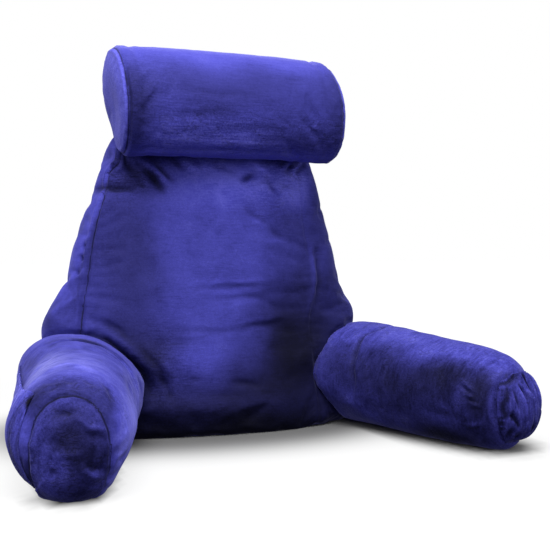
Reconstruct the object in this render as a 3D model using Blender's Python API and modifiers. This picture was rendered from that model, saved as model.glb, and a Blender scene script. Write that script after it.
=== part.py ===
"""Reading pillow with arms: a filled back, two splayed arms, a neck roll and two gathered pockets.

Metres, +Z up. +X is the right of someone facing the pillow, and the front looks towards -Y.
The origin is the middle of the back cushion's flat base, on the floor.
"""

import math

import bmesh
import bpy
from mathutils import Vector

# Driving sizes
TOUCH_GAP = 0.0003  # air between pieces that are sewn or pressed together
SEWN_GAP = 0.0009  # air under the sewn edge of a pocket
CLOTH = 0.0022  # plush cloth of a pocket
FRONT_Y = -0.11  # where the leaning front plane meets the floor
LEAN = math.tan(math.radians(9.6))  # how far that plane leans back for each metre of height
BACK_HEIGHT = 0.50
BASE_ROUND = 0.03  # height of the rounded edge above the flat base
BASE_INSET = 0.016
TOP_ROUND = 0.05  # height over which the top closes
TOP_INSET = 0.046
REAR_CROWN = 0.02
SEAM_DEPTH = 0.003
SEAM_HALF = 0.005
ARM_ROOT = Vector((0.229, -0.0485))  # plan of the arm's axis where it leaves the back
ARM_TIP = Vector((0.3194, -0.3640))  # and at its end cap's seam
ARM_BOW = 0.004  # how far the middle of the axis bends towards the other arm
ARM_SEAM = 0.328  # length of the axis from root to end cap seam
EGG = 0.54  # an arm is widest this far up
UPPER_POWER, LOWER_POWER = 2.0, 1.8  # roundness of its section above and below that
ROLL_HALF = 0.173  # from the middle to an end's seam
ROLL_CENTRE = Vector((0.003, -0.036, 0.516))
ROLL_YAW = math.radians(-4)
ROLL_SLANT = 0.06  # its ends lean: their tops lie this much further left for each metre up

# Steps round and along each piece
FRONT_STEPS, SIDE_STEPS, REAR_STEPS, BACK_LEVELS = 32, 9, 10, 42
ARM_STEPS, ARM_SPANS = 30, 11
ROLL_STEPS, ROLL_SPANS = 34, 9
POCKET_COLUMNS, POCKET_ROWS = 40, 8

# Back cushion, a row for each height. Half widths are measured from the middle: the front
# panel's seams, the widest place of each side, and the rear seams. drop is how far a front
# seam lies behind the panel's middle, and skew how far the panel's right half stands forward.
BACK_COLUMNS = ("height", "seam_l", "seam_r", "side_l", "side_r", "rear", "depth",
                "drop_l", "drop_r", "front", "skew")
BACK_ROWS = (
    (0.000, 0.220, 0.150, 0.258, 0.262, 0.205, 0.215, 0.032, 0.034, 0.010, 0.030),
    (0.060, 0.225, 0.150, 0.264, 0.268, 0.204, 0.210, 0.034, 0.040, 0.003, 0.026),
    (0.120, 0.230, 0.151, 0.270, 0.276, 0.200, 0.203, 0.034, 0.044, 0.000, 0.022),
    (0.170, 0.232, 0.154, 0.271, 0.278, 0.196, 0.196, 0.032, 0.046, 0.000, 0.020),
    (0.205, 0.225, 0.159, 0.254, 0.264, 0.192, 0.190, 0.030, 0.046, 0.000, 0.020),
    (0.240, 0.218, 0.164, 0.233, 0.248, 0.187, 0.184, 0.029, 0.046, 0.000, 0.020),
    (0.300, 0.208, 0.158, 0.217, 0.235, 0.178, 0.172, 0.029, 0.045, 0.000, 0.020),
    (0.340, 0.199, 0.153, 0.201, 0.225, 0.171, 0.163, 0.029, 0.043, 0.001, 0.018),
    (0.376, 0.186, 0.151, 0.187, 0.215, 0.164, 0.155, 0.030, 0.040, 0.002, 0.017),
    (0.410, 0.176, 0.149, 0.176, 0.204, 0.157, 0.146, 0.030, 0.036, 0.002, 0.016),
    (0.450, 0.160, 0.145, 0.165, 0.189, 0.147, 0.132, 0.028, 0.032, 0.000, 0.015),
    (0.500, 0.146, 0.136, 0.152, 0.164, 0.135, 0.098, 0.024, 0.026, -0.014, 0.012),
)

# Folds and puckers of the front panel, from (x0, z0) to (x1, z1). A positive lift is a ridge.
FOLD_COLUMNS = ("name", "x0", "z0", "x1", "z1", "half_width", "lift")
FOLD_ROWS = (
    ("ridge over the left arm", -0.275, 0.184, -0.110, 0.110, 0.016, 0.010),
    ("hollow under that ridge", -0.240, 0.150, -0.130, 0.075, 0.014, -0.008),
    ("ridge over the right arm", 0.265, 0.184, 0.130, 0.110, 0.018, 0.009),
    ("pinched left corner", -0.184, 0.430, -0.172, 0.402, 0.016, -0.012),
    ("crease below the corner", -0.188, 0.378, -0.146, 0.378, 0.013, -0.006),
    ("slanting fold", -0.150, 0.412, -0.105, 0.378, 0.013, -0.006),
    ("slanting ridge", -0.128, 0.416, -0.090, 0.388, 0.012, 0.004),
    ("pucker under the roll, left", -0.082, 0.425, -0.070, 0.402, 0.013, -0.006),
    ("pucker under the roll, middle", 0.028, 0.422, 0.046, 0.400, 0.014, -0.005),
    ("pucker under the roll, right", 0.150, 0.425, 0.118, 0.398, 0.014, -0.006),
    ("slack fold, upper right", 0.040, 0.345, 0.090, 0.305, 0.014, -0.004),
    ("slack fold, middle", -0.010, 0.217, 0.085, 0.213, 0.014, -0.0045),
    ("slack fold, low", 0.040, 0.160, 0.080, 0.161, 0.014, -0.004),
    ("slack fold, lowest", -0.075, 0.075, 0.040, 0.078, 0.013, -0.003),
)

# Arms, a row for each distance along the axis. A bottom below 0 is pressed flat by the floor,
# and lean is how far the top lies further out than the widest place.
ARM_COLUMNS = ("along", "half_width", "top", "bottom", "lean")
ARM_ROWS = (
    (-0.135, 0.018, 0.098, 0.040, 0.010),
    (-0.125, 0.040, 0.124, 0.012, 0.016),
    (-0.100, 0.062, 0.146, -0.006, 0.022),
    (-0.060, 0.079, 0.160, -0.010, 0.028),
    (0.000, 0.087, 0.166, -0.011, 0.030),
    (0.080, 0.083, 0.162, -0.011, 0.024),
    (0.160, 0.077, 0.155, -0.010, 0.016),
    (0.230, 0.073, 0.149, -0.010, 0.009),
    (0.275, 0.070, 0.144, -0.008, 0.004),
    (0.305, 0.065, 0.137, -0.007, 0.000),
    (0.320, 0.057, 0.130, -0.001, -0.003),
    (0.328, 0.049, 0.123, 0.006, -0.004),
    (0.335, 0.041, 0.115, 0.014, -0.004),
    (0.341, 0.030, 0.102, 0.027, -0.003),
    (0.344, 0.015, 0.082, 0.047, -0.002),
)
FLAT_CROWN = 0.45  # the end under a pocket is pressed to this share of its crown

# Neck roll: its section, as a radius for each angle from the front upwards, pressed flat
# where it lies on the back, and a row for each ring of an end
ROLL_COLUMNS = ("angle", "radius")
ROLL_ROWS = (
    (-45, 0.090), (0, 0.086), (45, 0.079), (90, 0.087), (125, 0.097), (150, 0.097),
    (180, 0.074), (215, 0.058), (250, 0.070), (285, 0.087), (315, 0.090), (360, 0.086), (405, 0.079),
)
ROLL_END_COLUMNS = ("past_seam", "scale")
ROLL_END_ROWS = (
    (0.0120, 0.22),
    (0.0108, 0.50),
    (0.0082, 0.76),
    (0.0050, 0.92),
    (0.0020, 0.985),
    (0.0000, 0.965),
    (-0.0030, 1.000),
    (-0.0140, 1.010),
)

# Pockets: how far the cloth stands off the arm, a row for each share of the pocket's height,
# and how far along the arm the side pocket is sewn down in front
SIDE_POCKET_COLUMNS = ("up", "stand_off", "gather", "front")
SIDE_POCKET_ROWS = (
    (0.00, 0.0010, 0.0000, 0.310),
    (0.15, 0.0062, 0.0006, 0.317),
    (0.50, 0.0086, 0.0012, 0.322),
    (0.85, 0.0086, 0.0016, 0.315),
    (1.00, 0.0082, 0.0020, 0.303),
)
END_POCKET_COLUMNS = ("up", "stand_off", "gather")
END_POCKET_ROWS = (
    (0.00, 0.0050, 0.0010),
    (0.10, 0.0140, 0.0022),
    (0.30, 0.0215, 0.0032),
    (0.60, 0.0225, 0.0034),
    (0.85, 0.0160, 0.0030),
    (1.00, 0.0100, 0.0020),
)
SIDE_POCKET = {"rear": 0.040, "low": 0.014, "mouth": 0.125, "pleats": 9}
END_POCKET = {"low": 0.013, "mouth": 0.104, "rise": 0.012, "reach": 0.93, "pleats": 6}

PLUSH = {
    "back_cushion": (0.046, 0.046, 0.300),
    "arm_left": (0.052, 0.052, 0.330),
    "arm_right": (0.042, 0.042, 0.280),
    "neck_roll": (0.056, 0.056, 0.350),
    "side_pocket": (0.048, 0.048, 0.310),
    "end_pocket": (0.038, 0.038, 0.260),
}


def column(rows, names, key, name, value):
    """Reads one column of a table at a key between its rows, along a smooth curve."""
    k, c = names.index(key), names.index(name)
    xs, ys = [r[k] for r in rows], [r[c] for r in rows]
    if value <= xs[0]:
        return ys[0]
    if value >= xs[-1]:
        return ys[-1]
    i = max(j for j in range(len(xs) - 1) if xs[j] <= value)

    def slope(j):
        a, b = max(j - 1, 0), min(j + 1, len(xs) - 1)
        return (ys[b] - ys[a]) / (xs[b] - xs[a])

    span = xs[i + 1] - xs[i]
    t = (value - xs[i]) / span
    return (
        ys[i] * (2 * t**3 - 3 * t**2 + 1)
        + ys[i + 1] * (3 * t**2 - 2 * t**3)
        + slope(i) * span * (t**3 - 2 * t**2 + t)
        + slope(i + 1) * span * (t**3 - t**2)
    )


def read_row(rows, names, value):
    """Every column of a table at one value of its first column."""
    return {n: column(rows, names, names[0], n, value) for n in names}


def bezier(a, b, c, d, t):
    return a * (1 - t) ** 3 + b * 3 * t * (1 - t) ** 2 + c * 3 * t * t * (1 - t) + d * t**3


def quarter(t):
    """A quarter circle: 0 at t = 0, steepening to 1 at t = 1."""
    return 1 - math.sqrt(max(0.0, 1 - t * t))


def seam_steps(steps, length):
    """Fractions along a panel of this length, with one beside each of its two seams."""
    edge = SEAM_HALF / length
    return [0.0] + [edge + (1 - 2 * edge) * i / (steps - 2) for i in range(steps - 1)] + [1.0]


def link(name, bm):
    """Makes a closed or open shape an object of the pillow."""
    mesh = bpy.data.meshes.new(name)
    bm.to_mesh(mesh)
    bm.free()
    mesh.shade_smooth()
    piece = bpy.data.objects.new(name, mesh)
    pillow.objects.link(piece)
    return piece


def loft(name, rings):
    """Skins closed rings of equal length, with a flat face on the first and the last."""
    bm = bmesh.new()
    loops = [[bm.verts.new(p) for p in ring] for ring in rings]
    for low, high in zip(loops, loops[1:]):
        for i in range(len(low)):
            j = (i + 1) % len(low)
            bm.faces.new((low[i], low[j], high[j], high[i]))
    bm.faces.new(loops[0][::-1])
    bm.faces.new(loops[-1])
    if bm.calc_volume(signed=True) < 0:
        bmesh.ops.reverse_faces(bm, faces=bm.faces[:])
    return link(name, bm)


def sheet(name, grid, outward):
    """A cloth sheet on a grid of points, thickened to the side that outward points to."""
    bm = bmesh.new()
    rows = [[bm.verts.new(p) for p in line] for line in grid]
    for low, high in zip(rows, rows[1:]):
        for i in range(len(low) - 1):
            bm.faces.new((low[i], low[i + 1], high[i + 1], high[i]))
    bm.normal_update()
    if sum((f.normal for f in bm.faces), Vector()).dot(outward) < 0:
        bmesh.ops.reverse_faces(bm, faces=bm.faces[:])
    piece = link(name, bm)
    shell = piece.modifiers.new("cloth", "SOLIDIFY")
    shell.thickness = CLOTH
    shell.offset = 1
    return piece


def back_section(height):
    """The cushion's plan at one height: front panel, right side, rear panel, left side."""
    row = read_row(BACK_ROWS, BACK_COLUMNS, height)
    plane = FRONT_Y + LEAN * height - row["front"]
    left, right = -row["seam_l"], row["seam_r"]
    rear = FRONT_Y + LEAN * height + row["depth"]

    points = []
    for t in seam_steps(FRONT_STEPS, right - left):
        x = left + (right - left) * t
        drop = row["drop_l"] if t < 0.5 else row["drop_r"]
        points.append(Vector((x, plane + drop * abs(2 * t - 1) ** 2.3 - row["skew"] * x / 0.2)))
    front_left, front_right = points[0], points[-1]
    rear_left, rear_right = Vector((-row["rear"], rear)), Vector((row["rear"], rear))
    seams = [0, FRONT_STEPS]

    def side_curve(start, end, widest):
        reach = (widest - (start.x + end.x) / 8) / 0.75
        depth = end.y - start.y
        first, second = Vector((reach, start.y + 0.16 * depth)), Vector((reach, end.y - 0.10 * depth))
        return [bezier(start, first, second, end, t) for t in seam_steps(SIDE_STEPS, abs(depth))]

    points += side_curve(front_right, rear_right, row["side_r"])[1:]
    seams.append(len(points) - 1)
    for t in seam_steps(REAR_STEPS, 2 * row["rear"])[1:]:
        x = 1 - 2 * t
        points.append(Vector((row["rear"] * x, rear + REAR_CROWN * (1 - x * x))))
    seams.append(len(points) - 1)
    points += side_curve(front_left, rear_left, -row["side_l"])[-2:0:-1]
    return points, seams


def shrink(points, amount):
    """Moves an outline's points inwards, at right angles to the outline."""
    moved = []
    for i, p in enumerate(points):
        along = points[(i + 1) % len(points)] - points[i - 1]
        moved.append(p + Vector((-along.y, along.x)).normalized() * amount)
    return moved


def drawn_in(points, amount):
    """Draws an outline in on all four sides, keeping its shape."""
    xs, ys = [p.x for p in points], [p.y for p in points]
    middle = Vector((max(xs) + min(xs), max(ys) + min(ys))) / 2
    keep = Vector((1 - 2 * amount / (max(xs) - min(xs)), 1 - 2 * amount / (max(ys) - min(ys))))
    return [middle + (p - middle) * keep for p in points]


def back_heights():
    """Heights of the rings: close together at the rounded base and at the closing top."""
    top = BACK_HEIGHT - TOP_ROUND
    base = [BASE_ROUND * t for t in (0, 0.12, 0.4, 1)]
    middle = [BASE_ROUND + (top - BASE_ROUND) * (i + 1) / BACK_LEVELS for i in range(BACK_LEVELS)]
    crest = [top + TOP_ROUND * t for t in (0.3, 0.58, 0.8, 0.94, 1)]
    return base + middle + crest


def back_rings():
    rings = []
    for height in back_heights():
        points, seams = back_section(height)
        under = max(0.0, 1 - height / BASE_ROUND)
        over = max(0.0, 1 - (BACK_HEIGHT - height) / TOP_ROUND)
        points = drawn_in(points, BASE_INSET * quarter(under) + TOP_INSET * quarter(over))
        grooved = shrink(points, SEAM_DEPTH)
        ring = [grooved[i] if i in seams else p for i, p in enumerate(points)]
        rings.append([Vector((p.x, p.y, height)) for p in ring])
    return rings


def fold_lift(x, z):
    """How far the front panel stands out, or sinks, at a point of it."""
    total = 0
    for row in FOLD_ROWS:
        fold = dict(zip(FOLD_COLUMNS, row))
        start = Vector((fold["x0"], fold["z0"]))
        run = Vector((fold["x1"], fold["z1"])) - start
        t = (Vector((x, z)) - start).dot(run) / run.length_squared
        near = start + run * min(max(t, 0), 1)
        away = (Vector((x, z)) - near).length / fold["half_width"]
        total += fold["lift"] * math.exp(-away * away)
    return total


def build_back(name, grow=0.0):
    """The filled back with its seams and main folds, standing out by grow all round."""
    piece = loft(name, back_rings())
    bm = bmesh.new()
    bm.from_mesh(piece.data)
    bm.normal_update()
    for v in bm.verts:
        facing = max(0.0, -v.normal.y) if v.co.z > BASE_ROUND else 0
        v.co += v.normal * fold_lift(v.co.x, v.co.z) * facing
    bmesh.ops.triangulate(bm, faces=bm.faces[:])
    bm.normal_update()
    for v in bm.verts:
        v.co += v.normal * grow
    bm.to_mesh(piece.data)
    bm.free()
    return piece


def arm_frame(along, side):
    """A point on an arm's axis in plan, the direction out of the pillow, and the heading."""
    run = ARM_TIP - ARM_ROOT
    t = along / ARM_SEAM
    out = Vector((-run.y, run.x)).normalized()
    point = ARM_ROOT + run * t - out * 4 * ARM_BOW * t * (1 - t)
    heading = (run - out * 4 * ARM_BOW * (1 - 2 * t)).normalized()
    across = Vector((-heading.y, heading.x))
    return [Vector((side * v.x, v.y)) for v in (point, across, heading)]


def arm_row(along):
    return read_row(ARM_ROWS, ARM_COLUMNS, along)


def arm_middle(row):
    """Height of an arm's widest place."""
    return row["bottom"] + EGG * (row["top"] - row["bottom"])


def arm_lean(row, height):
    middle = arm_middle(row)
    return row["lean"] * max(0.0, height - middle) / (row["top"] - middle)


def arm_half(row, height):
    """Half width of an arm's section at a height."""
    middle = arm_middle(row)
    if height > middle:
        share, power = (height - middle) / (row["top"] - middle), UPPER_POWER
    else:
        share, power = (middle - height) / (middle - row["bottom"]), LOWER_POWER
    return row["half_width"] * max(0.0, 1 - share**power) ** (1 / power)


def arm_ring(along, side, crown, shrunk=0.0):
    """A ring of an arm's skin. Its first point looks out of the pillow, and the next ones go up."""
    row = arm_row(along)
    row["half_width"] -= shrunk
    row["top"] -= shrunk
    middle = arm_middle(row)
    past = max(0.0, along - ARM_SEAM)
    centre, across, heading = arm_frame(along - past * (1 - crown), side)
    ring = []
    for i in range(ARM_STEPS):
        a = 2 * math.pi * i / ARM_STEPS
        c, s = math.cos(a), math.sin(a)
        power = UPPER_POWER if s > 0 else LOWER_POWER
        reach = (row["top"] - middle) if s > 0 else (middle - row["bottom"])
        height = max(0.0, middle + reach * math.copysign(abs(s) ** (2 / power), s))
        out = row["half_width"] * math.copysign(abs(c) ** (2 / power), c) + arm_lean(row, height)
        plan = centre + across * out
        ring.append(Vector((plan.x, plan.y, height)))
    return ring


def arm_stations():
    """Distances along an arm: its table's rows near both ends, even steps between."""
    rear = [r[0] for r in ARM_ROWS if r[0] <= -0.06]
    front = [r[0] for r in ARM_ROWS if r[0] >= 0.305]
    span = (front[0] - rear[-1]) / ARM_SPANS
    even = [rear[-1] + span * i for i in range(1, ARM_SPANS)]
    return sorted(rear + even + front + [ARM_SEAM - SEAM_HALF, ARM_SEAM + SEAM_HALF / 2])


def build_arm(name, side, crown):
    """A fat arm with a sunk seam round its oval end cap."""
    rings = [arm_ring(a, side, crown, SEAM_DEPTH if a == ARM_SEAM else 0) for a in arm_stations()]
    return loft(name, rings)


def cut_by(piece, cutter):
    """Takes the cutter's shape out of a piece."""
    cut = piece.modifiers.new("cut", "BOOLEAN")
    cut.object = cutter
    cut.operation = "DIFFERENCE"
    cut.solver = "EXACT"


def build_roll():
    """The neck roll: one loft from end to end, turned a little and leaning at its ends."""
    left = [(-ROLL_HALF - past, scale) for past, scale in ROLL_END_ROWS]
    first, full = left[-1]
    middle = [(first - 2 * first * i / ROLL_SPANS, full) for i in range(1, ROLL_SPANS)]
    right = [(-x, scale) for x, scale in reversed(left)]
    rings = []
    for x, scale in left + middle + right:
        ring = []
        for i in range(ROLL_STEPS):
            degrees = 360 * i / ROLL_STEPS
            radius = scale * column(ROLL_ROWS, ROLL_COLUMNS, "angle", "radius", degrees)
            y = -radius * math.cos(math.radians(degrees))
            z = radius * math.sin(math.radians(degrees))
            slid = x - ROLL_SLANT * z
            ring.append(ROLL_CENTRE + Vector((
                slid * math.cos(ROLL_YAW) - y * math.sin(ROLL_YAW),
                slid * math.sin(ROLL_YAW) + y * math.cos(ROLL_YAW),
                z,
            )))
        rings.append(ring)
    return loft("neck_roll", rings)


def pocket_stand(row, across, pleats):
    """How far a pocket's cloth stands off the arm at a share of its width."""
    slack = 1 - abs(2 * across - 1) ** 3
    pleat = 0.5 - 0.5 * math.cos(2 * math.pi * pleats * across)
    return SEWN_GAP + slack * (row["stand_off"] + row["gather"] * pleat)


def build_side_pocket(side):
    """The pocket on the outer side of an arm, sewn below and at both ends, open at the top."""
    size = SIDE_POCKET
    grid = []
    for j in range(POCKET_ROWS + 1):
        height = size["low"] + (size["mouth"] - size["low"]) * j / POCKET_ROWS
        cloth = read_row(SIDE_POCKET_ROWS, SIDE_POCKET_COLUMNS, j / POCKET_ROWS)
        line = []
        for i in range(POCKET_COLUMNS + 1):
            share = i / POCKET_COLUMNS
            along = size["rear"] + (cloth["front"] - size["rear"]) * share
            row = arm_row(along)
            centre, across, _ = arm_frame(along, side)
            stand = pocket_stand(cloth, share, size["pleats"])
            plan = centre + across * (arm_half(row, height) + arm_lean(row, height) + stand)
            line.append(Vector((plan.x, plan.y, height)))
        grid.append(line)
    return sheet("side_pocket", grid, Vector((side, 0, 0)))


def cap_along(out, height):
    """How far along an arm its end cap lies at a place of the cap, found by halving."""
    near, far = ARM_SEAM, ARM_ROWS[-1][0]
    for _ in range(20):
        middle = (near + far) / 2
        row = arm_row(middle)
        inside = row["bottom"] < height < row["top"]
        inside = inside and abs(out - arm_lean(row, height)) < arm_half(row, height)
        near, far = (middle, far) if inside else (near, middle)
    return ARM_SEAM + FLAT_CROWN * (near - ARM_SEAM)


def build_end_pocket(side):
    """The pocket over the lower part of an arm's end cap, open at the top."""
    size = END_POCKET
    seam = arm_row(ARM_SEAM)
    grid = []
    for j in range(POCKET_ROWS + 1):
        up = j / POCKET_ROWS
        cloth = read_row(END_POCKET_ROWS, END_POCKET_COLUMNS, up)
        line = []
        for i in range(POCKET_COLUMNS + 1):
            share = i / POCKET_COLUMNS
            mouth = size["mouth"] + size["rise"] * math.sin(math.pi * share)
            height = size["low"] + (mouth - size["low"]) * up
            out = (2 * share - 1) * size["reach"] * arm_half(seam, height) + arm_lean(seam, height)
            stand = pocket_stand(cloth, share, size["pleats"])
            centre, across, heading = arm_frame(cap_along(out, height) + stand, side)
            plan = centre + across * out
            line.append(Vector((plan.x, plan.y, height)))
        grid.append(line)
    return sheet("end_pocket", grid, Vector((0, -1, 0)))


def plush(name):
    """Short-pile plush of the piece's own shade."""
    material = bpy.data.materials.new(f"plush_{name}")
    material.use_nodes = True
    shader = material.node_tree.nodes["Principled BSDF"]
    shader.inputs["Base Color"].default_value = (*PLUSH[name], 1)
    shader.inputs["Roughness"].default_value = 0.85
    shader.inputs["Metallic"].default_value = 0
    shader.inputs["Sheen Weight"].default_value = 0.6
    return material


def new_collection(name):
    made = bpy.data.collections.new(name)
    bpy.context.scene.collection.children.link(made)
    return made


for old in list(bpy.data.objects):
    bpy.data.objects.remove(old, do_unlink=True)
pillow = new_collection("reading_pillow")
cutters = new_collection("cutters")

build_back("back_cushion")
room = build_back("room_for_the_back", TOUCH_GAP)
pillow.objects.unlink(room)
cutters.objects.link(room)
room.hide_render = True
room.display_type = "WIRE"

cut_by(build_arm("arm_left", -1, 1.0), room)
cut_by(build_arm("arm_right", 1, FLAT_CROWN), room)
cut_by(build_roll(), room)
build_side_pocket(-1)
build_end_pocket(1)

for piece in pillow.objects:
    piece.data.materials.append(plush(piece.name))
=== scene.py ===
import math

import bmesh
import bpy
import numpy as np
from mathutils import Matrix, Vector, noise
from mathutils.bvhtree import BVHTree


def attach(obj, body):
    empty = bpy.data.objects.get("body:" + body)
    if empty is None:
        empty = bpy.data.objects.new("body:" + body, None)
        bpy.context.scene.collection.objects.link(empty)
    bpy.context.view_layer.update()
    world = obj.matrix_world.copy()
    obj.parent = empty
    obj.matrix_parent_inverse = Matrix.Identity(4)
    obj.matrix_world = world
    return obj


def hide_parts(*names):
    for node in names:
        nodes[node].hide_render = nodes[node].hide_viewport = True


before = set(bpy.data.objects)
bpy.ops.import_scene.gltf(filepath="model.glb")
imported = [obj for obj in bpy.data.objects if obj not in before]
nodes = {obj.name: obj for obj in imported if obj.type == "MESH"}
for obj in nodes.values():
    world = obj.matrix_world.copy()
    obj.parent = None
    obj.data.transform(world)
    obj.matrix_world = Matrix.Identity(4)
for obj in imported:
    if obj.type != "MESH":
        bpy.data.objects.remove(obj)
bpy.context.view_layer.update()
scene = bpy.context.scene
print("frame loaded:", sorted(nodes))


# shapes taken from the frame

skin = {
    "weld": 0.00002,
    "nearby": 0.03,  # to a neighbour
    "air": 0.0005,
    "room": 0.45,  # but for this share of the room past that air
    "floor": 0.0002,
}


def weldedMesh(node):
    bm = bmesh.new()
    bm.from_mesh(nodes[node].data)
    bmesh.ops.remove_doubles(bm, verts=bm.verts[:], dist=skin["weld"])
    bmesh.ops.recalc_face_normals(bm, faces=bm.faces[:])
    return bm


def added(name, data):
    thing = bpy.data.objects.new(name, data)
    scene.collection.objects.link(thing)
    return thing


def coverOf(node, name):
    # the node's own triangles, joined into one closed skin on a new object
    bm = weldedMesh(node)
    mesh = bpy.data.meshes.new(name)
    bm.to_mesh(mesh)
    bm.free()
    return added(name, mesh)


def treeOf(node):
    bm = weldedMesh(node)
    tree = BVHTree.FromBMesh(bm)
    bm.free()
    return tree


trees = {name: treeOf(name) for name in nodes}


def bakeModifiers(piece):
    # puts what the modifiers make into the mesh
    graph = bpy.context.evaluated_depsgraph_get()
    made = bpy.data.meshes.new_from_object(piece.evaluated_get(graph), depsgraph=graph)
    old = piece.data
    piece.modifiers.clear()
    piece.data = made
    bpy.data.meshes.remove(old)
    made.name = piece.name


def vectors(rows, key):
    flat = np.empty(len(rows) * 3, np.float32)
    rows.foreach_get(key, flat)
    return flat.reshape(-1, 3).astype(float)


def points(piece):
    return vectors(piece.data.vertices, "co")


def normals(piece):
    return vectors(piece.data.vertex_normals, "vector")


def setPoints(piece, co):
    piece.data.vertices.foreach_set("co", co.astype(np.float32).ravel())
    piece.data.update()


def store(piece, name, values):
    layer = piece.data.attributes.get(name) or piece.data.attributes.new(name, "FLOAT", "POINT")
    layer.data.foreach_set("value", np.asarray(values, np.float32))


def voxelSkin(piece, size):
    remesh = piece.modifiers.new("even skin", "REMESH")
    remesh.mode = "VOXEL"
    remesh.voxel_size = size
    bakeModifiers(piece)


def smoothed(piece, times, factor=0.5):
    bm = bmesh.new()
    bm.from_mesh(piece.data)
    for _ in range(times):
        bmesh.ops.smooth_vert(bm, verts=bm.verts[:], factor=factor,
                              use_axis_x=True, use_axis_y=True, use_axis_z=True)
    bm.to_mesh(piece.data)
    bm.free()
    piece.data.update()


def subdivided(piece, levels=1):
    finer = piece.modifiers.new("finer skin", "SUBSURF")
    finer.levels = finer.render_levels = levels
    bakeModifiers(piece)


# folds and seams

noiseShift = (3.1, 1.7, 5.3)  # how far each seed moves the noise
folding = {"wander": 38, "reach": 4, "ends": 0.35}  # ends: share of the lift left there
# how the patches of painted light and shade, painted highlight and crushed pile stray, and how sharply they
# end
patching = {"wander": 14, "drift": 0.35, "edge": 2.6, "seed": 50}
sewing = {
    "far": 0.03,  # the material sees no seam past this
    "ripples": 75,  # in a metre
    "puckerReach": 0.013,
    "ridge": 0.4,  # height of the ridges beside a seam, in sinks
    "ridgeAt": 1.9,  # in half widths of the seam
    "ridgeHalf": 0.8,
    "seed": 5,
    "seedStep": 7,
}
filling = {"frames": 20, "quality": 5, "mass": 0.3, "leastHeld": 0.02}


def step(value, low, high):
    # 0 below low, 1 above high and smooth between
    t = np.clip((value - low) / (high - low), 0, 1)
    return t * t * (3 - 2 * t)


def mixed(a, b, share):
    return a * (1 - share) + b * share


def toLine(co, line):
    # how far each point is from a line of points, and how far along it that is
    line = np.asarray(line, float)
    best, place, done = np.full(len(co), np.inf), np.zeros(len(co)), 0.0
    for a, b in zip(line, line[1:]):
        run = b - a
        length = max(float(np.linalg.norm(run)), 1e-9)
        t = np.clip(((co - a) @ run) / length**2, 0, 1)
        away = np.linalg.norm(co - a - t[:, None] * run, axis=1)
        nearer = away < best
        best[nearer], place[nearer] = away[nearer], done + t[nearer] * length
        done += length
    return best, place


def wander(co, scale, seed):
    # smooth noise at every point, on a panel or in space
    shift = Vector([seed * s for s in noiseShift])
    return np.array([noise.noise(Vector((*p, 0)[:3]) * scale + shift) for p in co])


def drift(place, scale, seed):
    return np.stack([wander(place, scale, seed), wander(place, scale, seed + 1)], 1)


def looseness(co, rows):
    # the slack of the cloth, from rows of lift, waves a metre and seed
    return sum(lift * wander(co, scale, seed) for lift, scale, seed in rows)


def foldHeights(place, folds, seed, loose=0.0025):
    # a fold is its half width, its lift and a line on the panel, from which it wanders a little
    moved = place + drift(place, folding["wander"], seed) * loose
    total = np.zeros(len(place))
    for half, lift, *line in folds:
        reach = folding["reach"] * half
        near = np.all((place > np.min(line, 0) - reach) & (place < np.max(line, 0) + reach), axis=1)
        away, done = toLine(moved[near], line)
        length = sum(math.dist(a, b) for a, b in zip(line, line[1:]))
        fade = mixed(folding["ends"], 1, np.sin(math.pi * np.clip(done / length, 0, 1)))
        total[near] += lift * fade * np.exp(-(away / half) ** 2)
    return total


def patchedLightShadeAndCrush(place, base, patches, seed):
    # patches of painted light and shade, of a painted highlight or of crushed pile: a patch is its middle and
    # its reach, each across and up, and its tone or crush
    strayed = patching["drift"] * drift(place, patching["wander"], seed + patching["seed"])
    tone = np.full(len(place), float(base))
    for across, up, reachAcross, reachUp, value in patches:
        away = np.linalg.norm((place - (across, up)) / (reachAcross, reachUp) + strayed, axis=1)
        tone = mixed(tone, value, np.exp(-away ** patching["edge"]))
    return tone


def shaded(tone, lift, shade):
    # painted shade in the troughs of the folds and painted light on their ridges; the shade is its strength,
    # least and most
    strength, least, most = shade
    return tone * np.clip(1 + lift * strength, least, most)


def sewn(piece, lines, sides, sinks, pale, size):
    # sinks the seams between low ridges and draws the cloth into small puckers beside them; keeps the
    # signed distance to the nearest seam for the material, kept off zero where a seam is pale
    co, out = points(piece), normals(piece)
    half = size["sinkHalf"]
    best, signed, draw = np.full(len(co), 1.0), np.full(len(co), 1.0), np.zeros(len(co))
    for number, (line, side, sink, paler) in enumerate(zip(lines, sides, sinks, pale)):
        away, place = toLine(co, line)
        seed = number * sewing["seedStep"] + sewing["seed"]
        ripple = np.array([noise.noise(Vector((p * sewing["ripples"], seed, 0))) for p in place])
        draw += size["pucker"] * ripple * np.exp(-(away / sewing["puckerReach"]) ** 2)
        draw -= sink * np.exp(-(away / half) ** 2)
        ridge = (away - sewing["ridgeAt"] * half) / (sewing["ridgeHalf"] * half)
        draw += sewing["ridge"] * sink * np.exp(-ridge ** 2)
        nearer = away < best
        best[nearer] = away[nearer]
        turned = away * np.where(side(co) > 0, 1, -1)
        signed[nearer] = np.where(paler > 0, away + paler, turned)[nearer]
    setPoints(piece, co + out * draw[:, None])
    store(piece, "seam", np.clip(signed, -sewing["far"], sewing["far"]))


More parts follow.
